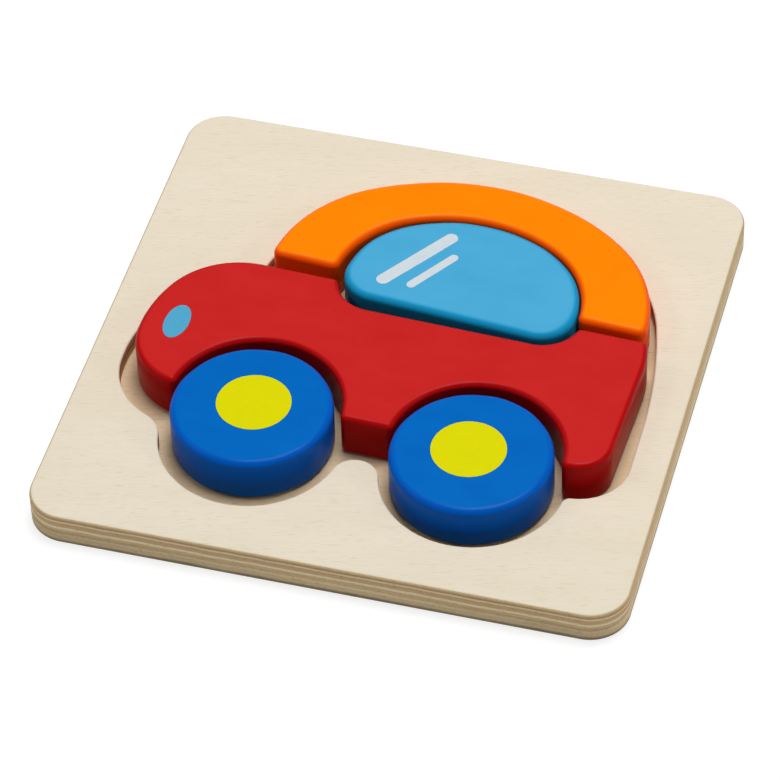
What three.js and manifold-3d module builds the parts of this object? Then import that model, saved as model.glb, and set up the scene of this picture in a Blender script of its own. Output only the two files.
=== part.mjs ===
// Wooden car puzzle: a square plywood tray with a car-shaped recess, and the five chunky painted
// pieces of the car, which stand in the recess and lift straight out of it.
// Millimetres, +Z up. The origin is the centre of the tray's underside, +X runs towards the car's
// tail and +Y towards its roof.

import * as THREE from 'three';
import { mergeVertices } from 'three/addons/utils/BufferGeometryUtils.js';
import Module from 'manifold-3d';

// Tray: a backing board with a frame of the same outline glued on top of it
const boardCorner = 12;
const boardArris = 0.8;
const backingThickness = 5;
const frameThickness = 5.6;

// Stock that all five pieces are cut from, its rounded-over edges and the corners of their outlines
const pieceThickness = 15;
const pieceArris = 1.5;
const cornerRadius = 1.9;

// Car outline, measured from the point midway between the wheel arches
const wheelbase = 67.6;
const wheelRadius = 24.3;
const archRoom = 1.5;
const sillHeight = 0.8;
const beltHeight = 56.5;
const hoodRadius = 26.4;
const hoodSetback = 16.6;
const hoodTurn = 157.5;
const noseRadius = 43.4;
const chinTurn = 185;
const chinRadius = 20.8;
const tailOverhang = 38.6;
const tailCorner = 10.5;
const tailShoulder = 36;
const tailShoulderY = 45;
const cabinX = 11.5;

// Window: a three-centred arch above its springing line and a skirt with round corners below it
const windowHalfSpan = 36.6;
const windowRise = 30.6;
const windowHaunch = 28;
const windowSkirt = 11;
const windowLift = 2.4;
const pocketRoom = 2.2;

// Roof: an arch-shaped rail round the window
const windowRoom = 1.7;
const railSide = 20.2;
const railCrown = 16.7;
const roofHaunch = 44;
const roofHaunchInside = 30;
const roofLift = 3.3;

// Recess: the outline of the whole car with room for small hands to set the pieces down
const wheelRoom = 3.3;
const wheelDrop = 1.6;
const noseRoom = 2.9;
const hoodRise = 5;
const tailRoom = 5.1;
const sillRoom = 3.6;
const roofRoom = 3.7;
const recessTailRadius = 15;
const recessShoulderRadius = 180;
const neckRadius = 10;
const tailNeckRadius = 3;
const notchRadius = 8;

// Wood left on the tray in front of the nose, behind the tail and below the wheels
const noseMargin = 10.25;
const tailMargin = 11.25;
const wheelMargin = 17.5;

// How each loose piece lies in the roomy recess: a shift from its place in the car's outline and a
// turn in degrees
const bodyLay = { x: 0, y: 2.6, turn: -2.4 };
const roofLay = { x: 1.3, y: 3, turn: -3.5 };
const windowLay = { x: 1.65, y: 4.6, turn: -5 };
const frontWheelLay = { x: -0.6, y: 3.9, turn: 0 };
const rearWheelLay = { x: -0.65, y: 1.1, turn: 0 };

// Fineness of the curves: the most that a chord may leave its arc, and the steps round an edge
const chordGap = 0.06;
const arrisSteps = 3;
const wheelSegments = 72;

// Materials, with the colours that the pieces have in even light
const plywood = { color: 0xe2d6bc, roughness: 0.62, metalness: 0 };
const redPaint = { color: 0xc8262a, roughness: 0.38, metalness: 0 };
const orangePaint = { color: 0xff8a00, roughness: 0.38, metalness: 0 };
const skyPaint = { color: 0x4faada, roughness: 0.38, metalness: 0 };
const bluePaint = { color: 0x0668c0, roughness: 0.36, metalness: 0 };

const wasm = await Module();
wasm.setup();

const frameTop = backingThickness + frameThickness;
const hoodX = -wheelbase / 2 - hoodSetback;
const tailX = wheelbase / 2 + tailOverhang;
const archRadius = wheelRadius + archRoom;
const roofHalfSpan = windowHalfSpan + windowRoom + railSide;
const roofRise = windowRise + windowRoom + railCrown;
const roofBase = beltHeight + roofLift;
const windowSpring = beltHeight + windowLift;

// A round stretch of an outline: a circle that the outline passes on its left or on its right.
// Going round an outline anticlockwise, a bulge has its centre on the left and a hollow on the right.
const bulge = (x, y, radius) => ({ x, y, radius, side: 1 });
const hollow = (x, y, radius) => ({ x, y, radius, side: -1 });

// Length of the other short side of a right triangle
const leg = (long, short) => Math.sqrt(long * long - short * short);

// Point at a distance from a point, in the direction given in degrees
function polar(from, distance, degrees) {
  const angle = THREE.MathUtils.degToRad(degrees);
  return { x: from.x + distance * Math.cos(angle), y: from.y + distance * Math.sin(angle) };
}

// The point that lies reachA from a and reachB from b, on the left of the way from a to b
function meet(a, reachA, b, reachB) {
  const span = Math.hypot(b.x - a.x, b.y - a.y);
  const along = (reachA * reachA - reachB * reachB + span * span) / (2 * span);
  const across = leg(reachA, along);
  const ux = (b.x - a.x) / span;
  const uy = (b.y - a.y) / span;
  return { x: a.x + along * ux - across * uy, y: a.y + along * uy + across * ux };
}

// A hollow fillet that touches two circles from outside, on the left of the way from a to b
function fillet(a, b, radius) {
  const centre = meet(a, a.radius + radius, b, b.radius + radius);
  return hollow(centre.x, centre.y, radius);
}

// Direction in which an outline leaves one circle for the next along their common tangent
function tangent(a, b) {
  const span = Math.hypot(b.x - a.x, b.y - a.y);
  const lean = (a.side * a.radius - b.side * b.radius) / span;
  return Math.atan2(b.y - a.y, b.x - a.x) + Math.asin(THREE.MathUtils.clamp(lean, -1, 1));
}

// Closed outline that goes round a ring of circles as a belt goes round pulleys
function belt(circles) {
  const points = [];
  circles.forEach((circle, i) => {
    const before = circles.at(i - 1);
    const after = circles[(i + 1) % circles.length];
    const quarter = circle.side * Math.PI / 2;
    const start = tangent(before, circle) - quarter;
    const turn = THREE.MathUtils.euclideanModulo(
      circle.side * (tangent(circle, after) - quarter - start), 2 * Math.PI);
    const step = 2 * Math.acos(1 - Math.min(chordGap / circle.radius, 0.2));
    const count = Math.max(2, Math.ceil(turn / step));
    const arc = new THREE.EllipseCurve(circle.x, circle.y, circle.radius, circle.radius,
      start, start + circle.side * turn, circle.side < 0);
    points.push(...arc.getPoints(count));
  });
  const near = 0.01;
  return points.filter((point, i) => point.distanceTo(points.at(i - 1)) > near);
}

// Circles of a three-centred arch on its springing line, from right to left, grown by some room.
// The crown's radius follows from the span, the rise and the radius of the haunches.
function arch(x, y, halfSpan, rise, haunch, room = 0) {
  const crown = (halfSpan ** 2 + rise ** 2 - 2 * halfSpan * haunch) / (2 * (rise - haunch));
  return [
    bulge(x + halfSpan - haunch, y, haunch + room),
    bulge(x, y + rise - crown, crown + room),
    bulge(x - halfSpan + haunch, y, haunch + room),
  ];
}

// Solid of an outline, with its upper and lower edges rounded over
function roundedBlank(outline, thickness, arris, holes = []) {
  const shape = new THREE.Shape(outline);
  shape.holes = holes.map((hole) => new THREE.Path(hole));
  const geometry = new THREE.ExtrudeGeometry(shape, {
    depth: thickness - 2 * arris,
    bevelThickness: arris,
    bevelSize: arris,
    bevelOffset: -arris,
    bevelSegments: arrisSteps,
  });
  return geometry.translate(0, 0, arris);
}

function toManifold(geometry) {
  const bare = geometry.clone();
  bare.deleteAttribute('normal');
  bare.deleteAttribute('uv');
  const welded = mergeVertices(bare, 1e-5);
  return new wasm.Manifold(new wasm.Mesh({
    numProp: 3,
    vertProperties: new Float32Array(welded.attributes.position.array),
    triVerts: new Uint32Array(welded.index.array),
  }));
}

function toGeometry(solid) {
  const mesh = solid.getMesh();
  const geometry = new THREE.BufferGeometry();
  geometry.setAttribute('position', new THREE.BufferAttribute(mesh.vertProperties, 3));
  geometry.setIndex(new THREE.BufferAttribute(mesh.triVerts, 1));
  geometry.computeVertexNormals();
  return geometry;
}

// The part of a board between two heights, cut square
function slice(geometry, bottom, top) {
  const slab = new THREE.BoxGeometry(2 * boardSize, 2 * boardSize, top - bottom);
  slab.translate(0, 0, (bottom + top) / 2);
  return toGeometry(toManifold(geometry).intersect(toManifold(slab)));
}

function boardOutline() {
  const inset = boardSize / 2 - boardCorner;
  return belt([
    bulge(-inset, -inset, boardCorner),
    bulge(inset, -inset, boardCorner),
    bulge(inset, inset, boardCorner),
    bulge(-inset, inset, boardCorner),
  ]);
}

// Front of the car: hood, nose and chin are three arcs that run into each other
const hood = bulge(hoodX, beltHeight - hoodRadius, hoodRadius);
const noseCentre = polar(hood, hoodRadius - noseRadius, hoodTurn);
const nose = bulge(noseCentre.x, noseCentre.y, noseRadius);
const chinCentre = polar(nose, noseRadius - chinRadius, chinTurn);
const chin = bulge(chinCentre.x, chinCentre.y, chinRadius);

// The square tray is as long as the recess and its margins, and the car is placed by them
const recessFront = nose.x - noseRadius - noseRoom;
const recessBack = tailX + tailRoom;
const boardSize = recessBack - recessFront + noseMargin + tailMargin;
const carX = noseMargin - boardSize / 2 - recessFront;
const carY = wheelMargin - boardSize / 2 + wheelRadius + wheelRoom + wheelDrop;

// Body: sill with two wheel arches, round tail, belt line with the pocket for the window
function bodyOutline() {
  const corner = (at) => bulge(at.x, at.y, cornerRadius);
  const frontArch = hollow(-wheelbase / 2, 0, archRadius);
  const rearArch = hollow(wheelbase / 2, 0, archRadius);
  const sillY = sillHeight + cornerRadius;
  const lipY = beltHeight - cornerRadius;
  const archSide = leg(archRadius + cornerRadius, sillY);
  const shoulder = bulge(tailX - tailShoulder, tailShoulderY, tailShoulder);
  const pocketReach = windowHalfSpan - windowSkirt;
  const pocketRadius = windowSkirt + pocketRoom;
  const pocketSide = pocketReach + leg(pocketRadius + cornerRadius, windowSpring - lipY);
  return belt([
    chin,
    corner(meet(frontArch, archRadius + cornerRadius, chin, chinRadius - cornerRadius)),
    frontArch,
    corner({ x: frontArch.x + archSide, y: sillY }),
    corner({ x: rearArch.x - archSide, y: sillY }),
    rearArch,
    corner({ x: rearArch.x + archSide, y: sillY }),
    bulge(tailX - tailCorner, sillHeight + tailCorner, tailCorner),
    shoulder,
    corner({ x: shoulder.x + leg(tailShoulder - cornerRadius, lipY - tailShoulderY), y: lipY }),
    corner({ x: cabinX + pocketSide, y: lipY }),
    hollow(cabinX + pocketReach, windowSpring, pocketRadius),
    hollow(cabinX - pocketReach, windowSpring, pocketRadius),
    corner({ x: cabinX - pocketSide, y: lipY }),
    hood,
    nose,
  ]);
}

// Window, drawn from the middle of its springing line
function windowOutline() {
  const reach = windowHalfSpan - windowSkirt;
  return belt([
    bulge(-reach, 0, windowSkirt),
    bulge(reach, 0, windowSkirt),
    ...arch(0, 0, windowHalfSpan, windowRise, windowHaunch),
  ]);
}

// Roof, drawn from the middle of its base: an outer arch, an inner arch and two square feet
function roofOutline() {
  const innerHalfSpan = windowHalfSpan + windowRoom;
  const outer = arch(0, 0, roofHalfSpan, roofRise, roofHaunch);
  const inner = arch(0, 0, innerHalfSpan, windowRise + windowRoom, roofHaunchInside)
    .map((circle) => hollow(circle.x, circle.y, circle.radius));
  const toeX = outer[0].x + leg(roofHaunch - cornerRadius, cornerRadius);
  const heelX = inner[0].x + leg(roofHaunchInside + cornerRadius, cornerRadius);
  const corner = (x) => bulge(x, cornerRadius, cornerRadius);
  return belt([
    corner(heelX),
    corner(toeX),
    ...outer,
    corner(-toeX),
    corner(-heelX),
    ...inner.reverse(),
  ]);
}

// Recess: the arcs of the car grown by their rooms, with hollow fillets where they meet
function recessOutline() {
  const lobeRadius = wheelRadius + wheelRoom;
  const frontLobe = bulge(-wheelbase / 2, -wheelDrop, lobeRadius);
  const rearLobe = bulge(wheelbase / 2, -wheelDrop, lobeRadius);
  const sillEdge = sillHeight - sillRoom;
  const tipDrop = sillEdge + wheelDrop;
  const tongueSpread = (wheelbase / 2) ** 2 + tipDrop ** 2 - lobeRadius ** 2;
  const tongueRadius = tongueSpread / (2 * (lobeRadius + tipDrop));
  const tail = bulge(recessBack - recessTailRadius, sillEdge + recessTailRadius, recessTailRadius);
  const roof = arch(cabinX, roofBase, roofHalfSpan, roofRise, roofHaunch, roofRoom);
  const shoulderX = recessBack - recessShoulderRadius;
  const shoulderDrop = leg(recessShoulderRadius - roof[0].radius, roof[0].x - shoulderX);
  const roomyNose = bulge(nose.x, nose.y, noseRadius + noseRoom);
  const roomyChin = bulge(chin.x, chin.y, chinRadius + noseRoom);
  const hoodY = hood.y + hoodRise;
  const roomyHood = bulge(hoodX, hoodY, roomyNose.radius - Math.hypot(nose.x - hoodX, nose.y - hoodY));
  return belt([
    roomyChin,
    fillet(frontLobe, roomyChin, neckRadius),
    frontLobe,
    hollow(0, sillEdge - tongueRadius, tongueRadius),
    rearLobe,
    fillet(tail, rearLobe, tailNeckRadius),
    tail,
    bulge(shoulderX, roofBase - shoulderDrop, recessShoulderRadius),
    ...roof,
    fillet(roomyHood, roof[2], notchRadius),
    roomyHood,
    roomyNose,
  ]);
}

// Wheel: a thick disc, rounded over at both rims, turned about its own axis
function wheelGeometry() {
  const flat = wheelRadius - pieceArris;
  const lower = new THREE.EllipseCurve(flat, pieceArris, pieceArris, pieceArris, -Math.PI / 2, 0);
  const upper = new THREE.EllipseCurve(flat, pieceThickness - pieceArris, pieceArris, pieceArris, 0, Math.PI / 2);
  const profile = [
    new THREE.Vector2(0, 0),
    ...lower.getPoints(arrisSteps),
    ...upper.getPoints(arrisSteps),
    new THREE.Vector2(0, pieceThickness),
  ];
  return new THREE.LatheGeometry(profile, wheelSegments).rotateX(Math.PI / 2);
}

function named(name, geometry, finish) {
  const mesh = new THREE.Mesh(geometry, new THREE.MeshStandardMaterial(finish));
  mesh.name = name;
  return mesh;
}

// A loose piece, standing on the backing at its place in the car and lying as it was set down
function loosePiece(name, geometry, finish, place, lay) {
  const mesh = named(name, geometry, finish);
  mesh.position.set(carX + place.x + lay.x, carY + place.y + lay.y, backingThickness);
  mesh.rotation.z = THREE.MathUtils.degToRad(lay.turn);
  return mesh;
}

function backingGeometry() {
  const blank = roundedBlank(boardOutline(), backingThickness + 2 * boardArris, boardArris);
  return slice(blank, 0, backingThickness);
}

function frameGeometry() {
  const recess = recessOutline().map((point) => new THREE.Vector2(point.x + carX, point.y + carY));
  const height = frameThickness + 2 * boardArris;
  const blank = roundedBlank(boardOutline(), height, boardArris, [recess]);
  return slice(blank.translate(0, 0, frameTop - height), backingThickness, frameTop);
}

const blankOf = (outline) => roundedBlank(outline, pieceThickness, pieceArris);
const puzzle = new THREE.Group();
puzzle.add(
  named('backing_board', backingGeometry(), plywood),
  named('tray_frame', frameGeometry(), plywood),
  loosePiece('car_body', blankOf(bodyOutline()), redPaint, { x: 0, y: 0 }, bodyLay),
  loosePiece('roof', blankOf(roofOutline()), orangePaint, { x: cabinX, y: roofBase }, roofLay),
  loosePiece('window', blankOf(windowOutline()), skyPaint, { x: cabinX, y: windowSpring }, windowLay),
  loosePiece('front_wheel', wheelGeometry(), bluePaint, { x: -wheelbase / 2, y: -wheelDrop }, frontWheelLay),
  loosePiece('rear_wheel', wheelGeometry(), bluePaint, { x: wheelbase / 2, y: -wheelDrop }, rearWheelLay),
);

export default puzzle;
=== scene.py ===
"""Looks of the wooden car puzzle: a plywood tray and five painted blocks with printed details.

Every block is a smooth surface with rounded edges, carried along an outline close to its solid's.
Sizes are written in millimetres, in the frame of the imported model, and turned to metres for Blender.
"""

import logging
import math
from collections.abc import Iterable
from dataclasses import dataclass
from enum import Enum

import bpy
import numpy as np
from mathutils import Matrix, Vector


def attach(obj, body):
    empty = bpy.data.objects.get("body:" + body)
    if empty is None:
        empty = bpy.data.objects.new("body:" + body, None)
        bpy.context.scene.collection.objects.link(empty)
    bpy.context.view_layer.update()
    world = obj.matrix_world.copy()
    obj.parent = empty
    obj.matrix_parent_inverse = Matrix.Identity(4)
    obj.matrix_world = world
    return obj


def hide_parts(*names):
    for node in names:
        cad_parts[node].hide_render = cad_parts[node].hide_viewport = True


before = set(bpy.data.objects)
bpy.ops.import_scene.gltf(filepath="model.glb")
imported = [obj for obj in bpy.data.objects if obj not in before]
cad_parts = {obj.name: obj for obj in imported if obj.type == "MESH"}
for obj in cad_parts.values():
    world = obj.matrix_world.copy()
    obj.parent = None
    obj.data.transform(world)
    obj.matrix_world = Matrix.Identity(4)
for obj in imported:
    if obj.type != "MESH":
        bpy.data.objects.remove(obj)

MM = 0.001
IMAGE_PX = 780
ARC_STEP = 0.5  # longest chord on an arc
FEWEST_CHORDS = 6  # on a short arc
SAME_POINT = 0.01  # points of an outline that are closer than this are one
SANDING_WAVES = ((3, 1.0, 0.4), (7, 0.8, 1.9), (13, 0.6, 4.2))  # turns, strength and phase of each wave
INK_RISE = 0.05  # of a print above and below the block's top
INK_ROUND = 0.04
NOISE_ROUGHNESS = 0.55
LACQUER_IOR = 1.5
LOG = logging.getLogger("car_puzzle")

Colour = tuple[float, float, float, float]


class Side(Enum):
    """Side of an outline that a circle's centre lies on, going round anticlockwise."""

    BULGE = 1
    HOLLOW = -1


@dataclass(frozen=True)
class Circle:
    """One round stretch of an outline, in millimetres."""

    x: float
    y: float
    radius: float
    side: Side = Side.BULGE


@dataclass(frozen=True)
class Lay:
    """Place on the tray, in millimetres, and turn in degrees of a loose block."""

    x: float
    y: float
    turn: float = 0.0

    def apply(self, points: np.ndarray) -> np.ndarray:
        """Returns plan points, one per row, turned and moved by the lay."""
        return self.rotate(points) + np.array([self.x, self.y])

    def rotate(self, vectors: np.ndarray) -> np.ndarray:
        """Turns plan vectors by the lay's angle.

        Args:
            vectors: Plan vectors, one per row.

        Returns:
            The turned vectors.
        """
        angle = math.radians(self.turn)
        spin = np.array([[math.cos(angle), math.sin(angle)], [-math.sin(angle), math.cos(angle)]])
        return vectors @ spin


@dataclass
class Outline:
    """A closed plan curve with its outward normals, in millimetres."""

    points: np.ndarray
    normals: np.ndarray

    def placed(self, lay: Lay) -> "Outline":
        """Returns the outline set down on the tray by a lay."""
        return Outline(lay.apply(self.points), lay.rotate(self.normals))

    def inset(self, depth: float) -> np.ndarray:
        """Returns the points moved inwards along their normals by a depth."""
        return self.points - depth * self.normals


def leg(long: float, short: float) -> float:
    """Returns the other short side of a right triangle."""
    return math.sqrt(long * long - short * short)


def meet(a: Circle, reach_a: float, b: Circle, reach_b: float) -> tuple[float, float]:
    """Finds the point at two given distances from two centres, left of the way from a to b.

    Args:
        a: First circle, of which only the centre counts.
        reach_a: Distance from the first centre.
        b: Second circle, of which only the centre counts.
        reach_b: Distance from the second centre.

    Returns:
        The point's x and y.
    """
    span = math.hypot(b.x - a.x, b.y - a.y)
    along = (reach_a**2 - reach_b**2 + span**2) / (2 * span)
    across = leg(reach_a, along)
    ux, uy = (b.x - a.x) / span, (b.y - a.y) / span
    return a.x + along * ux - across * uy, a.y + along * uy + across * ux


def fillet(a: Circle, b: Circle, radius: float) -> Circle:
    """Returns a hollow fillet that touches two circles from outside, left of the way from a to b."""
    return Circle(*meet(a, a.radius + radius, b, b.radius + radius), radius, Side.HOLLOW)


def tangent(a: Circle, b: Circle) -> float:
    """Finds the direction in which an outline leaves one circle for the next along their tangent.

    It is the direction between the centres, turned by the angle whose sine is the difference of the
    signed radii over the distance.

    Args:
        a: Circle that the outline leaves.
        b: Circle that it goes to.

    Returns:
        The direction, in radians.
    """
    span = math.hypot(b.x - a.x, b.y - a.y)
    lean = (a.side.value * a.radius - b.side.value * b.radius) / span
    return math.atan2(b.y - a.y, b.x - a.x) + math.asin(max(-1.0, min(1.0, lean)))


def belt(circles: list[Circle], step: float = ARC_STEP) -> Outline:
    """Carries an outline round circles as a belt goes round pulleys.

    On each circle the curve is centre + radius * (cos, sin) of an angle that runs between the two
    common tangents, and straight stretches join the arcs.

    Args:
        circles: The circles in order, anticlockwise.
        step: Longest chord on an arc, in millimetres.

    Returns:
        The closed outline.
    """
    points, normals = [], []
    for before, circle, after in zip(circles[-1:] + circles[:-1], circles, circles[1:] + circles[:1]):
        sign = circle.side.value
        start = tangent(before, circle) - sign * math.pi / 2
        turn = (sign * (tangent(circle, after) - sign * math.pi / 2 - start)) % (2 * math.pi)
        count = max(FEWEST_CHORDS, math.ceil(turn * circle.radius / step))
        angles = start + sign * np.linspace(0.0, turn, count + 1)
        spokes = np.stack([np.cos(angles), np.sin(angles)], axis=1)
        points.append(np.array([circle.x, circle.y]) + circle.radius * spokes)
        normals.append(sign * spokes)
    ring, out = np.concatenate(points), np.concatenate(normals)
    keep = np.linalg.norm(ring - np.roll(ring, 1, axis=0), axis=1) > SAME_POINT
    return Outline(ring[keep], out[keep])


def arch(x: float, y: float, half_span: float, rise: float, haunch: float, room: float = 0.0) -> list[Circle]:
    """Gives the circles of a three-centred arch from right to left, grown by some room.

    The crown's radius is (span^2 + rise^2 - 2 span haunch) / (2 (rise - haunch)), with half the span.

    Args:
        x: Middle of the springing line.
        y: Height of the springing line.
        half_span: Half the width at the springing line.
        rise: Height of the crown above it.
        haunch: Radius of the two side arcs.
        room: Growth of all three arcs.

    Returns:
        Right haunch, crown and left haunch.
    """
    crown = (half_span**2 + rise**2 - 2 * half_span * haunch) / (2 * (rise - haunch))
    return [
        Circle(x + half_span - haunch, y, haunch + room),
        Circle(x, y + rise - crown, crown + room),
        Circle(x - half_span + haunch, y, haunch + room),
    ]


def ellipse(x: float, y: float, half_x: float, half_y: float, count: int = 96) -> Outline:
    """Draws an ellipse, (half_x cos, half_y sin) about its centre.

    Args:
        x: Centre, from left to right.
        y: Centre, from front to back.
        half_x: Half its size along x.
        half_y: Half its size along y.
        count: Points on it.

    Returns:
        The outline, with normals along (half_y cos, half_x sin).
    """
    angles = np.linspace(0.0, 2 * math.pi, count, endpoint=False)
    points = np.stack([x + half_x * np.cos(angles), y + half_y * np.sin(angles)], axis=1)
    normals = np.stack([half_y * np.cos(angles), half_x * np.sin(angles)], axis=1)
    return Outline(points, normals / np.linalg.norm(normals, axis=1, keepdims=True))


def quarter(radius: float, steps: int = 8) -> np.ndarray:
    """Returns inset, radius (1 - cos), and rise, radius sin, of a quarter round from wall to flat."""
    angles = np.linspace(0.0, math.pi / 2, steps + 1)
    return np.stack([radius * (1 - np.cos(angles)), radius * np.sin(angles)], axis=1)


def level(plan: np.ndarray, height: float) -> np.ndarray:
    """Returns plan points raised to a height, as points in space."""
    return np.column_stack([plan, np.full(len(plan), height)])


def sorted_pair(keys: np.ndarray, values: np.ndarray) -> tuple[np.ndarray, np.ndarray]:
    """Returns keys in rising order and the values in that same order."""
    order = np.argsort(keys)
    return keys[order], values[order]


def grid_faces(rows: int, columns: int, closed: bool) -> np.ndarray:
    """Numbers the quads of a grid whose columns run round a ring.

    Args:
        rows: Rings in the grid.
        columns: Points on each ring.
        closed: Whether the last ring joins the first.

    Returns:
        Four vertex numbers per quad, row by row.
    """
    index = np.arange(rows * columns).reshape(rows, columns)
    lower = index if closed else index[:-1]
    upper = np.roll(index, -1, axis=0) if closed else index[1:]
    quads = np.stack([lower, np.roll(lower, -1, axis=1), np.roll(upper, -1, axis=1), upper], axis=-1)
    return quads.reshape(-1, 4)


def mesh_object(name: str, points: np.ndarray, faces: list[list[int]],
                smooth: np.ndarray) -> bpy.types.Object:
    """Puts points and faces, in millimetres, into a new mesh object at the origin.

    Args:
        name: Name of the object.
        points: Vertices in space, one per row.
        faces: Vertex numbers of each face.
        smooth: Whether each face is shaded smooth.

    Returns:
        The linked object.
    """
    mesh = bpy.data.meshes.new(name)
    mesh.from_pydata((points * MM).tolist(), [], faces)
    mesh.polygons.foreach_set("use_smooth", smooth.astype(bool))
    mesh.update()
    piece = bpy.data.objects.new(name, mesh)
    bpy.context.scene.collection.objects.link(piece)
    return piece


def sanded(outline: Outline, uneven: float) -> np.ndarray:
    """Gives the share by which a hand-sanded edge round swells and shrinks along an outline.

    It is one plus three sine waves of whole turns round the outline, so that it closes on itself.

    Args:
        outline: Plan outline of the block.
        uneven: Half the swing of the radius, as a share of it.

    Returns:
        One factor for each point of the outline.
    """
    steps = np.linalg.norm(np.roll(outline.points, -1, axis=0) - outline.points, axis=1)
    along = 2 * math.pi * np.cumsum(steps) / np.sum(steps)
    waves = sum(strength * np.sin(turns * along + phase) for turns, strength, phase in SANDING_WAVES)
    return 1 + uneven * waves / sum(strength for _, strength, _ in SANDING_WAVES)


def rounded_block(name: str, outline: Outline, bottom: float, top: float,
                  low_round: float, high_round: float, uneven: float = 0.0) -> bpy.types.Object:
    """Carries a wall profile with quarter rounds along an outline and closes it with flat faces.

    Ring k is the outline moved inwards by the profile's inset, at the profile's height. Where the
    round is uneven, inset and height are both scaled by the sanding factor of each point.

    Args:
        name: Name of the object.
        outline: Plan outline, anticlockwise.
        bottom: Height of the lower face.
        top: Height of the upper face.
        low_round: Radius of the lower edge, or 0 for a square edge.
        high_round: Radius of the upper edge, or 0 for a square edge.
        uneven: Half the swing of both radii, as a share of them.

    Returns:
        The closed block, with a point attribute, 1 on the wall and 0 where a round meets the flat, that
        steers the painted shade on the walls.
    """
    low = quarter(low_round)[::-1] if low_round else np.zeros((1, 2))
    high = quarter(high_round) if high_round else np.zeros((1, 2))
    swell = sanded(outline, uneven)
    insets = np.outer(np.concatenate([low[:, 0], high[:, 0]]), swell)
    low_heights = bottom + np.outer(low_round - low[:, 1], swell)
    high_heights = top - np.outer(high_round - high[:, 1], swell)
    plans = outline.points - insets[..., None] * outline.normals
    rings = np.dstack([plans, np.concatenate([low_heights, high_heights])])
    rows, columns = rings.shape[:2]
    quads = grid_faces(rows, columns, closed=False)
    caps = [list(range(columns))[::-1], list(range((rows - 1) * columns, rows * columns))]
    smooth = np.concatenate([np.ones(len(quads)), np.zeros(len(caps))])
    piece = mesh_object(name, rings.reshape(-1, 3), quads.tolist() + caps, smooth)
    turned = np.concatenate([low[:, 0] / (low_round or 1.0), high[:, 0] / (high_round or 1.0)])
    # Share of the wall at each ring, which steers the painted shade of the paint.
    shaded_flank = np.repeat(1.0 - turned, columns).astype(np.float32)
    piece.data.attributes.new("shaded_flank", "FLOAT", "POINT").data.foreach_set("value", shaded_flank)
    return piece


def print_film(name: str, outline: Outline, top: float) -> bpy.types.Object:
    """Returns a film of ink that stands just proud of a block's top, with a softly rounded edge."""
    return rounded_block(name, outline, top - INK_RISE, top + INK_RISE, 0.0, INK_ROUND)


def linear(code: str) -> Colour:
    """Turns an sRGB hex code such as C8262A into a linear colour.

    Args:
        code: Six hex digits, red first.

    Returns:
        Red, green, blue and alpha.
    """
    srgb = np.array([int(code[i:i + 2], 16) for i in (0, 2, 4)]) / 255.0
    red, green, blue = np.where(srgb <= 0.04045, srgb / 12.92, ((srgb + 0.055) / 1.055) ** 2.4)
    return float(red), float(green), float(blue), 1.0


def add(tree: bpy.types.NodeTree, kind: str, settings: dict[str, object] | None = None,
        inputs: dict[str | int, object] | None = None) -> bpy.types.Node:
    """Adds a node with its settings and links.

    Args:
        tree: Node tree of the material or world.
        kind: Blender's node type.
        settings: Values of the node's own properties.
        inputs: Value, or output socket to link, for each input by name or number.

    Returns:
        The new node.
    """
    node = tree.nodes.new(kind)
    for name, value in (settings or {}).items():
        setattr(node, name, value)
    for key, value in (inputs or {}).items():
        if isinstance(value, bpy.types.NodeSocket):
            tree.links.new(value, node.inputs[key])
        else:
            node.inputs[key].default_value = value
    return node


def ramp_stops(node: bpy.types.Node, stops: list[tuple[float, str]]) -> bpy.types.Node:
    """Sets the stops of a colour ramp.

    Args:
        node: The colour ramp.
        stops: Position and sRGB hex code of each stop, in order.

    Returns:
        The same node.
    """
    elements = node.color_ramp.elements
    while len(elements) < len(stops):
        elements.new(1.0)
    for element, (position, code) in zip(elements, stops):
        element.position = position
        element.color = linear(code)
    return node


def new_material(name: str) -> tuple[bpy.types.Material, bpy.types.NodeTree]:
    """Starts a material with an empty node tree.

    Args:
        name: Name of the material.

    Returns:
        The material and its node tree.
    """
    material = bpy.data.materials.new(name)
    material.use_nodes = True
    material.node_tree.nodes.clear()
    return material, material.node_tree


@dataclass(frozen=True)
class Figure:
    """Noise drawn out along the grain of the wood, with the size of a feature in millimetres.

    Low and high are the noise values between which a second colour comes in. The detail counts the
    octaves of finer noise, and the shift, in features, makes two patterns differ.
    """

    length: float
    width: float
    low: float = 0.0
    high: float = 1.0
    detail: float = 3.0
    shift: float = 0.0


def grain(tree: bpy.types.NodeTree, figure: Figure, turn: float = 0.0) -> bpy.types.NodeSocket:
    """Gives the noise of a figure, with features of their real size.

    Args:
        tree: Node tree of the material.
        figure: Sizes of the pattern.
        turn: Direction of the grain from X, in degrees.

    Returns:
        The noise value, from about 0.3 to 0.7.
    """
    place = add(tree, "ShaderNodeTexCoord").outputs["Object"]
    feature = Vector((figure.length, figure.width, figure.width)) * MM
    stretched = add(tree, "ShaderNodeMapping", {"vector_type": "TEXTURE"}, {
        "Vector": place, "Scale": feature, "Location": feature * figure.shift,
        "Rotation": (0.0, 0.0, math.radians(turn))})
    noise = add(tree, "ShaderNodeTexNoise", inputs={
        "Vector": stretched.outputs["Vector"], "Scale": 1.0, "Detail": figure.detail,
        "Roughness": NOISE_ROUGHNESS})
    return noise.outputs["Fac"]


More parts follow.
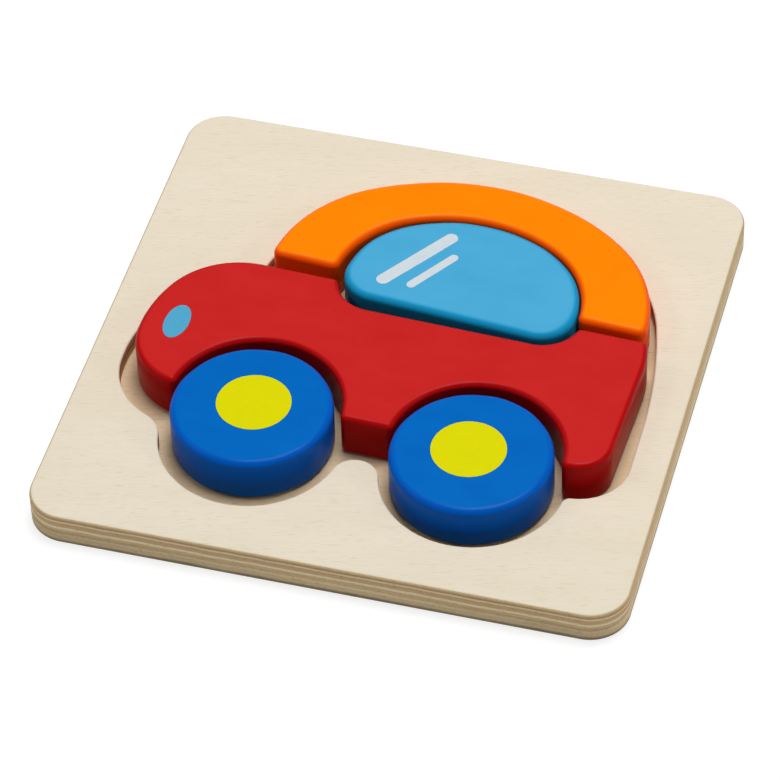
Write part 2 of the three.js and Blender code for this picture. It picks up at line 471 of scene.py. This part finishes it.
def tint(tree: bpy.types.NodeTree, share: bpy.types.NodeSocket, low: float, high: float,
         base: Colour | bpy.types.NodeSocket, other: Colour | bpy.types.NodeSocket) -> bpy.types.NodeSocket:
    """Mixes a second colour in where a pattern rises from low to high.

    Args:
        tree: Node tree of the material.
        share: Pattern that steers the mix.
        low: Pattern value where the second colour starts.
        high: Pattern value where it is full.
        base: Colour, or socket of it, below low.
        other: Colour, or socket of it, above high.

    Returns:
        The mixed colour.
    """
    part = add(tree, "ShaderNodeMapRange", inputs={"Value": share, "From Min": low, "From Max": high})
    mixed = add(tree, "ShaderNodeMix", {"data_type": "RGBA"}, {0: part.outputs["Result"], 6: base, 7: other})
    return mixed.outputs[2]


def surface(tree: bpy.types.NodeTree, colour: bpy.types.NodeSocket, roughness: float, gloss: float,
            relief: bpy.types.NodeSocket, depth: float) -> None:
    """Ends a material in a shader with a fine relief.

    Args:
        tree: Node tree of the material.
        colour: Colour of the surface.
        roughness: Roughness of its gloss.
        gloss: Strength of its mirror reflection, where 0.5 is that of a clear lacquer.
        relief: Height pattern of the relief.
        depth: Depth of the relief, in millimetres.
    """
    bump = add(tree, "ShaderNodeBump", inputs={"Height": relief, "Distance": depth * MM})
    shader = add(tree, "ShaderNodeBsdfPrincipled", inputs={
        "Base Color": colour, "Roughness": roughness, "IOR": LACQUER_IOR, "Specular IOR Level": gloss,
        "Normal": bump.outputs["Normal"]})
    add(tree, "ShaderNodeOutputMaterial", inputs={"Surface": shader.outputs["BSDF"]})


@dataclass(frozen=True)
class BirchVeneer:
    """Sanded rotary-cut birch: pale, matt, with soft bands and short fine pores along the grain."""

    name: str = "birch_veneer_sanded"
    pale: str = "E5DAC6"
    band: str = "DCD0B8"
    pore: str = "D5C8AC"
    roughness: float = 0.58
    gloss: float = 0.2
    relief: float = 0.015
    turn: float = 13.0
    bands: Figure = Figure(55.0, 14.0, 0.3, 1.3, detail=1.0)
    fibres: Figure = Figure(9.0, 0.55, 0.42, 1.1, shift=3.7)
    pores: Figure = Figure(3.0, 0.4, 0.62, 0.95, detail=0.0, shift=8.1)

    def build(self) -> bpy.types.Material:
        """Makes the veneer, with pores drawn about twice their real width so that they show.

        Returns:
            The material.
        """
        material, tree = new_material(self.name)
        bands = grain(tree, self.bands, self.turn)
        fibres = grain(tree, self.fibres, self.turn)
        pores = grain(tree, self.pores, self.turn)
        band = linear(self.band)
        colour = tint(tree, bands, self.bands.low, self.bands.high, linear(self.pale), band)
        colour = tint(tree, fibres, self.fibres.low, self.fibres.high, colour, band)
        colour = tint(tree, pores, self.pores.low, self.pores.high, colour, linear(self.pore))
        surface(tree, colour, self.roughness, self.gloss, fibres, self.relief)
        return material


@dataclass(frozen=True)
class PlyEdge:
    """Sawn and sanded edge of birch plywood: light long-grain plies between darker end-grain ones.

    The tone gives the colour at each height in millimetres, and plies wander up or down by the drift.
    Its two dark stops at the bottom are painted shade along the lower edge.
    """

    name: str = "birch_plywood_edge_sanded"
    # The stops at 0.0 and 1.3 are painted shade along the bottom edge.
    tone: tuple[tuple[float, str], ...] = (
        (0.0, "8C7A5A"), (1.3, "AE9A78"), (2.1, "EAD2A8"), (3.2, "E8CEA2"), (3.55, "F4DCB0"), (4.1, "F4DCB0"),
        (4.4, "E8CA9A"), (5.9, "E2C594"), (6.2, "FFEAC4"), (6.8, "FFEAC4"), (7.1, "DCBC8C"), (8.5, "DABA8A"),
        (8.75, "FFE4BC"), (9.2, "FFE4BC"), (9.5, "C8A472"), (10.2, "CCB488"))
    fibre: str = "A4845A"
    height: float = 10.6
    drift: float = 0.25
    roughness: float = 0.66
    gloss: float = 0.15
    relief: float = 0.035
    wander: Figure = Figure(14.0, 14.0, 0.3, 0.7)
    fibres: Figure = Figure(1.6, 0.5, 0.55, 1.0, detail=2.0, shift=5.2)

    def build(self) -> bpy.types.Material:
        """Makes the edge, whose plies wander a little and are broken by fibres.

        Returns:
            The material.
        """
        material, tree = new_material(self.name)
        place = add(tree, "ShaderNodeTexCoord").outputs["Object"]
        height = add(tree, "ShaderNodeSeparateXYZ", inputs={"Vector": place}).outputs["Z"]
        wander = add(tree, "ShaderNodeMapRange", inputs={
            "Value": grain(tree, self.wander), "From Min": self.wander.low, "From Max": self.wander.high,
            "To Min": -self.drift * MM, "To Max": self.drift * MM})
        drifted = add(tree, "ShaderNodeMath", {"operation": "ADD"}, {0: height, 1: wander.outputs["Result"]})
        share = add(tree, "ShaderNodeMapRange", inputs={
            "Value": drifted.outputs[0], "From Min": 0.0, "From Max": self.height * MM})
        plies = ramp_stops(add(tree, "ShaderNodeValToRGB", inputs={"Fac": share.outputs["Result"]}),
                           [(z / self.height, code) for z, code in self.tone])
        fibres = grain(tree, self.fibres)
        colour = tint(tree, fibres, self.fibres.low, self.fibres.high,
                      plies.outputs["Color"], linear(self.fibre))
        surface(tree, colour, self.roughness, self.gloss, fibres, self.relief)
        return material


@dataclass(frozen=True)
class SatinPaint:
    """Sprayed satin enamel on beech: even colour, a soft gloss, and the grain just felt through it.

    The colour goes over to a darker wall colour between onset and onset plus fade of the wall attribute:
    painted shade on the walls.
    """

    name: str
    colour: str
    deep: str
    # Wall colour: painted shade.
    shaded_flank: str
    onset: float = 0.0
    fade: float = 0.5
    roughness: float = 0.3
    gloss: float = 0.045
    relief: float = 0.004
    mottle: Figure = Figure(16.0, 9.0, 0.35, 0.75, shift=1.3)
    beech: Figure = Figure(12.0, 0.8, shift=6.4)

    def build(self) -> bpy.types.Material:
        """Makes the paint, with painted shade that makes it deeper on the walls.

        Returns:
            The material.
        """
        material, tree = new_material(self.name)
        mottle = grain(tree, self.mottle)
        colour = tint(tree, mottle, self.mottle.low, self.mottle.high, linear(self.colour), linear(self.deep))
        shaded_flank = add(tree, "ShaderNodeAttribute", {"attribute_name": "shaded_flank"}).outputs["Fac"]
        # Painted shade: the colour deepens towards the walls.
        colour = tint(tree, shaded_flank, self.onset, self.onset + self.fade, colour, linear(self.shaded_flank))
        surface(tree, colour, self.roughness, self.gloss, grain(tree, self.beech), self.relief)
        return material


@dataclass(frozen=True)
class PrintInk:
    """Pad-printed enamel ink: a thin flat film, slightly glossier than the paint under it."""

    name: str
    colour: str
    thin: str
    roughness: float = 0.3
    gloss: float = 0.07
    relief: float = 0.003
    mottle: Figure = Figure(2.4, 2.4, 0.45, 0.9, shift=2.9)

    def build(self) -> bpy.types.Material:
        """Makes the ink, with the faint mottling of a printed film.

        Returns:
            The material.
        """
        material, tree = new_material(self.name)
        mottle = grain(tree, self.mottle)
        colour = tint(tree, mottle, self.mottle.low, self.mottle.high, linear(self.colour), linear(self.thin))
        surface(tree, colour, self.roughness, self.gloss, mottle, self.relief)
        return material


@dataclass(frozen=True)
class PaperSweep:
    """White studio paper: matt and even, seen as bright white with the tray's soft shadow on it.

    To the light it is plain paper, and to the eye and in reflections a greyer veil over a white glow.
    """

    name: str = "white_paper_sweep"
    paper: str = "D2D2D2"
    veil: str = "8A8A8A"
    white: str = "FFFFFF"
    glow: float = 0.8

    def build(self) -> bpy.types.Material:
        """Makes the paper.

        Returns:
            The material.
        """
        material, tree = new_material(self.name)
        path = add(tree, "ShaderNodeLightPath")
        mirrored = add(tree, "ShaderNodeMath", {"operation": "MAXIMUM"},
                       {0: path.outputs["Is Glossy Ray"], 1: path.outputs["Is Transmission Ray"]})
        seen = add(tree, "ShaderNodeMath", {"operation": "MAXIMUM"},
                   {0: path.outputs["Is Camera Ray"], 1: mirrored.outputs[0]})
        paper = add(tree, "ShaderNodeBsdfDiffuse", inputs={"Color": linear(self.paper)})
        veil = add(tree, "ShaderNodeBsdfDiffuse", inputs={"Color": linear(self.veil)})
        glow = add(tree, "ShaderNodeEmission", inputs={"Color": linear(self.white), "Strength": self.glow})
        shown = add(tree, "ShaderNodeAddShader", inputs={
            0: veil.outputs["BSDF"], 1: glow.outputs["Emission"]})
        mixed = add(tree, "ShaderNodeMixShader", inputs={
            0: seen.outputs[0], 1: paper.outputs["BSDF"], 2: shown.outputs["Shader"]})
        add(tree, "ShaderNodeOutputMaterial", inputs={"Surface": mixed.outputs["Shader"]})
        return material


def dress(piece: bpy.types.Object, material: bpy.types.Material, body: str, slot: str, *nodes: str) -> None:
    """Gives a piece its finish and the body it rides on, and hides the solids that it stands for.

    Args:
        piece: The finished mesh object.
        material: Its first material.
        body: Body of the model that it moves with.
        slot: Not used.
        nodes: Solids that it replaces.
    """
    piece.data.materials.append(material)
    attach(piece, body)
    if nodes:
        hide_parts(*nodes)
    LOG.info("%s: %d faces on %s", piece.name, len(piece.data.polygons), body)


@dataclass
class CarPlan:
    """Sizes of the car that its blocks and the recess share, in millimetres."""

    wheelbase: float = 67.6
    wheel_radius: float = 24.3
    arch_room: float = 1.5
    sill: float = 0.8
    belt_line: float = 56.5
    hood_radius: float = 26.4
    hood_x: float = -50.4
    hood_turn: float = 157.5
    nose_radius: float = 43.4
    chin_turn: float = 185.0
    chin_radius: float = 20.8
    tail_x: float = 72.4
    cabin_x: float = 11.5
    window_half_span: float = 36.6
    window_rise: float = 30.6
    window_haunch: float = 28.0
    window_skirt: float = 11.0
    window_spring: float = 58.9
    roof_rise: float = 49.0
    roof_haunch: float = 44.0
    roof_base: float = 59.8
    floor: float = 5.0
    top: float = 20.0
    uneven: float = 0.12
    car_x: float = 1.247
    car_y: float = -43.297

    def hood(self) -> Circle:
        """Returns the arc of the bonnet."""
        return Circle(self.hood_x, self.belt_line - self.hood_radius, self.hood_radius)

    def nose(self) -> Circle:
        """Finds the flatter arc of the nose, whose centre lies on the bonnet's radius at the hood turn.

        Returns:
            The arc, which runs into the bonnet without a kink.
        """
        reach, angle = self.hood_radius - self.nose_radius, math.radians(self.hood_turn)
        hood = self.hood()
        return Circle(hood.x + reach * math.cos(angle), hood.y + reach * math.sin(angle), self.nose_radius)

    def chin(self) -> Circle:
        """Finds the round arc of the chin, whose centre lies on the nose's radius at the chin turn.

        Returns:
            The arc, which runs into the nose without a kink.
        """
        reach, angle = self.nose_radius - self.chin_radius, math.radians(self.chin_turn)
        nose = self.nose()
        return Circle(nose.x + reach * math.cos(angle), nose.y + reach * math.sin(angle), self.chin_radius)

    def lay(self, x: float, y: float, turn: float = 0.0) -> Lay:
        """Returns a lay from a place in the car's own outline."""
        return Lay(self.car_x + x, self.car_y + y, turn)

    def block(self, name: str, outline: Outline, edge_round: float) -> bpy.types.Object:
        """Returns a hand-sanded block on the floor of the recess, with one round on both its edges."""
        return rounded_block(name, outline, self.floor, self.top, edge_round, edge_round, self.uneven)


@dataclass
class Tray:
    """Plywood tray: a backing board with a frame of the same outline, which the recess is cut through.

    The veneer of the frame's top reaches down over the last rows of the rounded outer edge.
    """

    plan: CarPlan
    size: float = 179.994
    corner: float = 12.0
    top: float = 10.6
    outer_round: float = 1.1
    outer_steps: int = 6
    veneer_rows: int = 2
    rim_round: float = 0.7
    rim_steps: int = 5
    backing_round: float = 0.9
    wheel_room: float = 3.3
    wheel_drop: float = 1.6
    nose_room: float = 2.9
    hood_rise: float = 5.0
    tail_room: float = 5.1
    sill_room: float = 3.6
    roof_room: float = 3.7
    roof_half_span: float = 58.5
    tail_radius: float = 15.0
    shoulder_radius: float = 180.0
    neck_radius: float = 10.0
    tail_neck_radius: float = 3.0
    notch_radius: float = 8.0
    recess_step: float = 0.4
    middle: tuple[float, float] = (0.0, -10.0)
    edge_step: float = 0.3
    edge_shares: int = 200
    veneer: BirchVeneer = BirchVeneer()
    plies: PlyEdge = PlyEdge()
    # Warmer and darker than the top veneer: painted shade of the recess with painted red bounce light from
    # the body.
    recess_floor: BirchVeneer = BirchVeneer("birch_veneer_painted_recess_shade", "E0C8A6", "D6BC96", "C0A47A", 0.66)
    # Darker plies than the outer edge: painted shade of the recess wall.
    recess_wall: PlyEdge = PlyEdge("birch_plywood_edge_painted_recess_shade", (
        (5.0, "B08A62"), (6.2, "C8A47A"), (7.1, "C8A47A"), (7.6, "B08A62"), (8.4, "B08A62"),
        (8.7, "CAA67C"), (9.3, "CAA67C"), (9.8, "B68F68"), (10.6, "D2BC96")))

    def edge(self, step: float = ARC_STEP) -> Outline:
        """Draws the outline of the board, a square with round corners.

        Args:
            step: Longest chord on a corner, in millimetres.

        Returns:
            The outline.
        """
        inset = self.size / 2 - self.corner
        spots = [(-inset, -inset), (inset, -inset), (inset, inset), (-inset, inset)]
        return belt([Circle(x, y, self.corner) for x, y in spots], step)

    def recess(self) -> Outline:
        """Draws the outline of the recess: the car's arcs grown by their rooms, with fillets.

        The tongue between the wheels is the hollow arc that touches the sill line and both lobes.

        Returns:
            The outline, in its place on the tray.
        """
        plan = self.plan
        half = plan.wheelbase / 2
        lobe = plan.wheel_radius + self.wheel_room
        front, rear = Circle(-half, -self.wheel_drop, lobe), Circle(half, -self.wheel_drop, lobe)
        sill = plan.sill - self.sill_room
        drop = sill + self.wheel_drop
        tongue = (half**2 + drop**2 - lobe**2) / (2 * (lobe + drop))
        back = plan.tail_x + self.tail_room
        tail = Circle(back - self.tail_radius, sill + self.tail_radius, self.tail_radius)
        roof = arch(plan.cabin_x, plan.roof_base, self.roof_half_span, plan.roof_rise, plan.roof_haunch,
                    self.roof_room)
        shoulder_x = back - self.shoulder_radius
        shoulder_drop = leg(self.shoulder_radius - roof[0].radius, roof[0].x - shoulder_x)
        nose, chin = plan.nose(), plan.chin()
        wide_nose = Circle(nose.x, nose.y, nose.radius + self.nose_room)
        wide_chin = Circle(chin.x, chin.y, chin.radius + self.nose_room)
        hood_y = plan.hood().y + self.hood_rise
        reach = math.hypot(nose.x - plan.hood_x, nose.y - hood_y)
        hood = Circle(plan.hood_x, hood_y, wide_nose.radius - reach)
        ring = [wide_chin, fillet(front, wide_chin, self.neck_radius), front,
                Circle(0.0, sill - tongue, tongue, Side.HOLLOW), rear,
                fillet(tail, rear, self.tail_neck_radius), tail,
                Circle(shoulder_x, plan.roof_base - shoulder_drop, self.shoulder_radius), *roof,
                fillet(hood, roof[2], self.notch_radius), hood, wide_nose]
        return belt(ring, self.recess_step).placed(plan.lay(0.0, 0.0))

    def matched_edge(self, recess: Outline) -> Outline:
        """Finds the board's edge behind each point of the recess, on a ray from the middle.

        Args:
            recess: Outline of the recess, seen whole from the middle.

        Returns:
            As many points of the board's edge, with their normals.
        """
        outer = self.edge(self.edge_step)
        shares = np.linspace(0.0, 1.0, self.edge_shares, endpoint=False)[:, None, None]
        dense, turned = (
            (values + shares * (np.roll(values, -1, axis=0) - values)).transpose(1, 0, 2).reshape(-1, 2)
            for values in (outer.points, outer.normals))
        seen = np.arctan2(*(dense - np.array(self.middle)).T[::-1])
        wanted = np.arctan2(*(recess.points - np.array(self.middle)).T[::-1])
        pick = [np.interp(wanted, *sorted_pair(seen, values), period=2 * math.pi)
                for values in (*dense.T, *turned.T)]
        out = np.stack(pick[2:], axis=1)
        return Outline(np.stack(pick[:2], axis=1), out / np.linalg.norm(out, axis=1, keepdims=True))

    def build_frame(self) -> bpy.types.Object:
        """Builds the frame as one closed ring: up the outer wall, across the top, down into the recess.

        Each ring of points is the board's edge or the recess moved by the profile's inset. The faces of
        the top take the second material and those of the recess the third.

        Returns:
            The board, still bare.
        """
        recess = self.recess()
        edge = self.matched_edge(recess)
        bottom = self.plan.floor
        outer = quarter(self.outer_round, self.outer_steps)
        rim = quarter(self.rim_round, self.rim_steps)[::-1]
        rings = [level(edge.points, bottom)]
        rings += [level(edge.inset(i), self.top - self.outer_round + z) for i, z in outer]
        rings += [level(recess.inset(-i), self.top - self.rim_round + z) for i, z in rim]
        rings.append(level(recess.points, bottom))
        stack = np.stack(rings)
        rows, columns = stack.shape[:2]
        flat_row, wall_row = len(outer), len(outer) + len(rim) - 1
        row = np.repeat(np.arange(rows), columns)
        quads = grid_faces(rows, columns, closed=True)
        smooth = (row != flat_row) & (row != rows - 1)
        piece = mesh_object("frame_board", stack.reshape(-1, 3), quads.tolist(), smooth)
        finish = np.where(row >= flat_row - self.veneer_rows, 1, 0)
        finish = np.where(row >= wall_row, 2, finish)
        piece.data.polygons.foreach_set("material_index", finish.astype(np.int32))
        return piece

    def build(self) -> None:
        """Builds and dresses the frame and the backing, whose two flat faces are its last."""
        plies = self.plies.build()
        frame_board = self.build_frame()
        dress(frame_board, plies, "tray", "frame", "tray_frame")
        frame_board.data.materials.append(self.veneer.build())
        frame_board.data.materials.append(self.recess_wall.build())
        backing = rounded_block("backing_sheet", self.edge(), 0.0, self.plan.floor, self.backing_round, 0.0)
        dress(backing, plies, "tray", "backing", "backing_board")
        backing.data.materials.append(self.recess_floor.build())
        finish = np.zeros(len(backing.data.polygons), np.int32)
        finish[-2:] = 1
        backing.data.polygons.foreach_set("material_index", finish)


@dataclass
class BodyBlock:
    """Red body: wheel arches, round tail, belt line with the window's pocket, bonnet, nose and chin."""

    plan: CarPlan
    corner: float = 1.9
    edge_round: float = 1.65
    tail_corner: float = 10.5
    shoulder: float = 36.0
    shoulder_y: float = 45.0
    pocket_room: float = 1.3
    lamp_x: float = -67.2
    lamp_y: float = 25.2
    lamp_half_width: float = 3.8
    lamp_half_height: float = 7.1
    shift_y: float = 2.6
    turn: float = -2.4
    # Its last colour is painted shade on the walls.
    paint: SatinPaint = SatinPaint("satin_red_enamel_on_beech", "C62524", "C02120", "AE080A")
    ink: PrintInk = PrintInk("printed_sky_blue_ink", "50A4C8", "489EC2")

    def outline(self) -> Outline:
        """Draws the outline about the point midway between the arches.

        Each small corner round touches the two stretches beside it, so that its centre follows from
        theirs by a right triangle or by two distances.

        Returns:
            The outline.
        """
        plan, corner = self.plan, self.corner
        arch_radius = plan.wheel_radius + plan.arch_room
        front = Circle(-plan.wheelbase / 2, 0.0, arch_radius, Side.HOLLOW)
        rear = Circle(plan.wheelbase / 2, 0.0, arch_radius, Side.HOLLOW)
        chin = plan.chin()
        sill_y, lip_y = plan.sill + corner, plan.belt_line - corner
        side = leg(arch_radius + corner, sill_y)
        shoulder = Circle(plan.tail_x - self.shoulder, self.shoulder_y, self.shoulder)
        reach = plan.window_half_span - plan.window_skirt
        pocket = plan.window_skirt + self.pocket_room
        lip = reach + leg(pocket + corner, plan.window_spring - lip_y)
        tail_lip = shoulder.x + leg(self.shoulder - corner, lip_y - self.shoulder_y)
        toe = meet(front, arch_radius + corner, chin, chin.radius - corner)
        return belt([
            chin, Circle(*toe, corner), front,
            Circle(front.x + side, sill_y, corner), Circle(rear.x - side, sill_y, corner), rear,
            Circle(rear.x + side, sill_y, corner),
            Circle(plan.tail_x - self.tail_corner, plan.sill + self.tail_corner, self.tail_corner), shoulder,
            Circle(tail_lip, lip_y, corner), Circle(plan.cabin_x + lip, lip_y, corner),
            Circle(plan.cabin_x + reach, plan.window_spring, pocket, Side.HOLLOW),
            Circle(plan.cabin_x - reach, plan.window_spring, pocket, Side.HOLLOW),
            Circle(plan.cabin_x - lip, lip_y, corner), plan.hood(), plan.nose()])

    def build(self) -> None:
        """Builds and dresses the block and its printed headlight."""
        plan = self.plan
        lay = plan.lay(0.0, self.shift_y, self.turn)
        block = plan.block("body_shape", self.outline().placed(lay), self.edge_round)
        dress(block, self.paint.build(), "body_block", "body_paint", "car_body")
        lamp = ellipse(self.lamp_x, self.lamp_y, self.lamp_half_width, self.lamp_half_height).placed(lay)
        dress(print_film("headlight_print", lamp, plan.top), self.ink.build(), "body_block", "body_paint")


@dataclass
class RoofBlock:
    """Orange roof: an arch-shaped rail with two square feet."""

    plan: CarPlan
    half_span: float = 59.3
    window_room: float = 1.5
    inner_haunch: float = 30.0
    corner: float = 2.6
    edge_round: float = 2.2
    shift_x: float = 0.6
    shift_y: float = 3.0
    turn: float = -3.7
    # Its last colour, a redder orange on the walls, is painted shade with a painted red reflection of the
    # body.
    paint: SatinPaint = SatinPaint("satin_orange_enamel_on_beech", "FF8500", "FB8100", "FF5400", 0.25)

    def outline(self) -> Outline:
        """Draws the outline about the middle of its base: an outer and an inner arch joined by feet.

        Returns:
            The outline.
        """
        plan = self.plan
        outer = arch(0.0, 0.0, self.half_span, plan.roof_rise, plan.roof_haunch)
        inner = arch(0.0, 0.0, plan.window_half_span + self.window_room, plan.window_rise + self.window_room,
                     self.inner_haunch)
        hollows = [Circle(c.x, c.y, c.radius, Side.HOLLOW) for c in inner]
        toe = outer[0].x + leg(plan.roof_haunch - self.corner, self.corner)
        heel = inner[0].x + leg(self.inner_haunch + self.corner, self.corner)
        foot = [Circle(x, self.corner, self.corner) for x in (heel, toe, -toe, -heel)]
        return belt(foot[:2] + outer + foot[2:] + hollows[::-1])

    def build(self) -> None:
        """Builds and dresses the block."""
        plan = self.plan
        lay = plan.lay(plan.cabin_x + self.shift_x, plan.roof_base + self.shift_y, self.turn)
        block = plan.block("roof_shape", self.outline().placed(lay), self.edge_round)
        dress(block, self.paint.build(), "roof_block", "roof_paint", "roof")


@dataclass(frozen=True)
class Gleam:
    """Printed bar with round ends: its two end points and half its width, in millimetres."""

    name: str
    x: float
    y: float
    end_x: float
    end_y: float
    half_width: float


@dataclass
class WindowBlock:
    """Pale blue window with two printed gleams."""

    plan: CarPlan
    edge_round: float = 2.3
    shift_x: float = 1.65
    shift_y: float = 4.6
    turn: float = -5.0
    gleams: tuple[Gleam, ...] = (
        Gleam("long_gleam_print", -23.7, -2.6, -10.1, 20.75, 2.1),
        Gleam("short_gleam_print", -14.9, -2.1, -6.5, 12.9, 1.4))
    gleam_step: float = 0.3
    # Its last colour is painted shade on the walls.
    paint: SatinPaint = SatinPaint("satin_sky_blue_enamel_on_beech", "4CA8D3", "46A3CE", "1494C6")
    ink: PrintInk = PrintInk("printed_white_ink", "CCD6DB", "C2D0D8")

    def outline(self) -> Outline:
        """Draws the outline about the middle of its springing line: an arch on two round lower corners.

        Returns:
            The outline.
        """
        plan = self.plan
        reach = plan.window_half_span - plan.window_skirt
        skirt = [Circle(-reach, 0.0, plan.window_skirt), Circle(reach, 0.0, plan.window_skirt)]
        return belt(skirt + arch(0.0, 0.0, plan.window_half_span, plan.window_rise, plan.window_haunch))

    def build(self) -> None:
        """Builds and dresses the block and its gleams."""
        plan = self.plan
        lay = plan.lay(plan.cabin_x + self.shift_x, plan.window_spring + self.shift_y, self.turn)
        block = plan.block("window_shape", self.outline().placed(lay), self.edge_round)
        dress(block, self.paint.build(), "window_block", "window_paint", "window")
        ink = self.ink.build()
        for bar in self.gleams:
            ends = [Circle(bar.x, bar.y, bar.half_width), Circle(bar.end_x, bar.end_y, bar.half_width)]
            film = print_film(bar.name, belt(ends, self.gleam_step).placed(lay), plan.top)
            dress(film, ink, "window_block", "window_paint")


@dataclass(frozen=True)
class WheelPlace:
    """Middle of a wheel and of its printed hub on the tray, in millimetres."""

    name: str
    x: float
    y: float
    hub_x: float
    hub_y: float


@dataclass
class Wheels:
    """Two blue discs with a printed yellow hub, each hub a little off the middle."""

    plan: CarPlan
    hub_radius: float = 11.2
    edge_round: float = 2.2
    rim_points: int = 240
    places: tuple[WheelPlace, ...] = (
        WheelPlace("front_wheel", -33.15, -41.0, -32.82, -39.81),
        WheelPlace("rear_wheel", 34.4, -43.8, 33.4, -43.07))
    # Its last colour is painted shade on the walls.
    paint: SatinPaint = SatinPaint("satin_blue_enamel_on_beech", "0067BD", "0061B7", "005ABE")
    ink: PrintInk = PrintInk("printed_yellow_ink", "D9D500", "D5D000")

    def build(self) -> None:
        """Builds and dresses both wheels."""
        plan, radius = self.plan, self.plan.wheel_radius
        paint, ink = self.paint.build(), self.ink.build()
        for wheel in self.places:
            disc = ellipse(wheel.x, wheel.y, radius, radius, self.rim_points)
            block = plan.block(f"{wheel.name}_disc", disc, self.edge_round)
            dress(block, paint, f"{wheel.name}_block", "wheel_paint", wheel.name)
            hub = ellipse(wheel.hub_x, wheel.hub_y, self.hub_radius, self.hub_radius)
            film = print_film(f"{wheel.name}_hub_print", hub, plan.top)
            dress(film, ink, f"{wheel.name}_block", "wheel_paint")


@dataclass(frozen=True)
class Softbox:
    """Square lamp that faces the tray: its place and side in metres, and its power in watts."""

    name: str
    place: tuple[float, float, float]
    side: float
    power: float

    def hang(self) -> None:
        """Hangs the lamp in the studio."""
        light = bpy.data.lights.new(self.name, "AREA")
        light.size = self.side
        light.energy = self.power
        holder = bpy.data.objects.new(self.name, light)
        bpy.context.scene.collection.objects.link(holder)
        holder.location = self.place
        holder.rotation_euler = (-Vector(self.place)).to_track_quat("-Z", "Y").to_euler()


@dataclass
class Studio:
    """White floor, soft light from above and the sides, and the camera at the photographed angle.

    Lengths are in millimetres, angles in degrees and the focal length in pixels of the image.
    """

    focal_px: float = 4289.0
    sensor_width: float = 36.0
    azimuth: float = 16.43
    elevation: float = 45.52
    roll: float = -1.82
    target: tuple[float, float, float] = (2.1, -15.9, 10.0)
    distance: float = 1280.0
    clip_end: float = 20000.0
    inner_radius: float = 600.0
    floor_radius: float = 2200.0
    floor_drop: float = 0.2
    sweep_radius: float = 1000.0
    sweep_rows: int = 13
    sweep_points: int = 96
    wall_top: float = 1900.0
    paper: PaperSweep = PaperSweep()
    ambient: float = 0.18
    ambient_colour: str = "FFFFFF"
    lamps: tuple[Softbox, ...] = (
        Softbox("overhead_softbox", (0.1, 0.3, 1.6), 0.8, 22.8),
        Softbox("left_strip", (-1.1, -0.25, 1.1), 0.3, 2.0),
        Softbox("right_strip", (1.3, -0.1, 0.9), 0.3, 1.6))

    def camera(self) -> None:
        """Sets up the camera from its angles about the target."""
        a, e, r = (math.radians(v) for v in (self.azimuth, self.elevation, self.roll))
        back = Vector((math.sin(a) * math.cos(e), -math.cos(a) * math.cos(e), math.sin(e)))
        right = Vector((math.cos(a), math.sin(a), 0.0))
        up = back.cross(right)
        tilted = right * math.cos(r) + up * math.sin(r)
        raised = up * math.cos(r) - right * math.sin(r)
        lens = bpy.data.cameras.new("photo_camera")
        lens.sensor_width = self.sensor_width
        lens.lens = self.focal_px / IMAGE_PX * lens.sensor_width
        lens.clip_end = self.clip_end * MM
        eye = bpy.data.objects.new("photo_camera", lens)
        bpy.context.scene.collection.objects.link(eye)
        place = (Vector(self.target) + back * self.distance) * MM
        turn = Matrix((tilted, raised, back)).transposed().to_4x4()
        eye.matrix_world = Matrix.Translation(place) @ turn
        bpy.context.scene.camera = eye

    def floor(self) -> None:
        """Turns a paper sweep about the middle: a flat floor, a quarter round and a wall.

        The floor keeps a faint shadow of the tray, and lies just below it.
        """
        bend = np.linspace(0.0, math.pi / 2, self.sweep_rows)
        wall = self.floor_radius + self.sweep_radius
        reach = np.concatenate([
            [self.inner_radius], self.floor_radius + self.sweep_radius * np.sin(bend), [wall]])
        height = np.concatenate([
            [0.0], self.sweep_radius * (1 - np.cos(bend)), [self.wall_top]]) - self.floor_drop
        spins = np.linspace(0.0, 2 * math.pi, self.sweep_points, endpoint=False)
        spokes = np.stack([np.cos(spins), np.sin(spins)], axis=1)
        rings = np.stack([level(r * spokes, z) for r, z in zip(reach, height)])
        quads = grid_faces(len(rings), len(spins), closed=False)[:, ::-1]
        faces = quads.tolist() + [list(range(len(spins)))]
        sheet = mesh_object("studio_floor", rings.reshape(-1, 3), faces, np.ones(len(faces)))
        sheet.data.materials.append(self.paper.build())

    def world(self) -> None:
        """Fills the studio with even white light."""
        room = bpy.data.worlds.new("white_studio")
        room.use_nodes = True
        tree = room.node_tree
        tree.nodes.clear()
        glow = add(tree, "ShaderNodeBackground", inputs={
            "Color": linear(self.ambient_colour), "Strength": self.ambient})
        add(tree, "ShaderNodeOutputWorld", inputs={"Surface": glow.outputs["Background"]})
        bpy.context.scene.world = room

    def build(self) -> None:
        """Sets up the camera, floor, lamps and world."""
        self.camera()
        self.floor()
        for lamp in self.lamps:
            lamp.hang()
        self.world()
        bpy.context.scene.view_settings.view_transform = "Standard"


def main() -> None:
    """Builds the tray, the blocks and the studio, and logs the faces of each piece."""
    logging.basicConfig(level=logging.INFO, format="%(name)s: %(message)s")
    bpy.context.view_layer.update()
    plan = CarPlan()
    Tray(plan).build()
    for block in (BodyBlock(plan), RoofBlock(plan), WindowBlock(plan), Wheels(plan)):
        block.build()
    Studio().build()


if __name__ == "__main__":
    main()
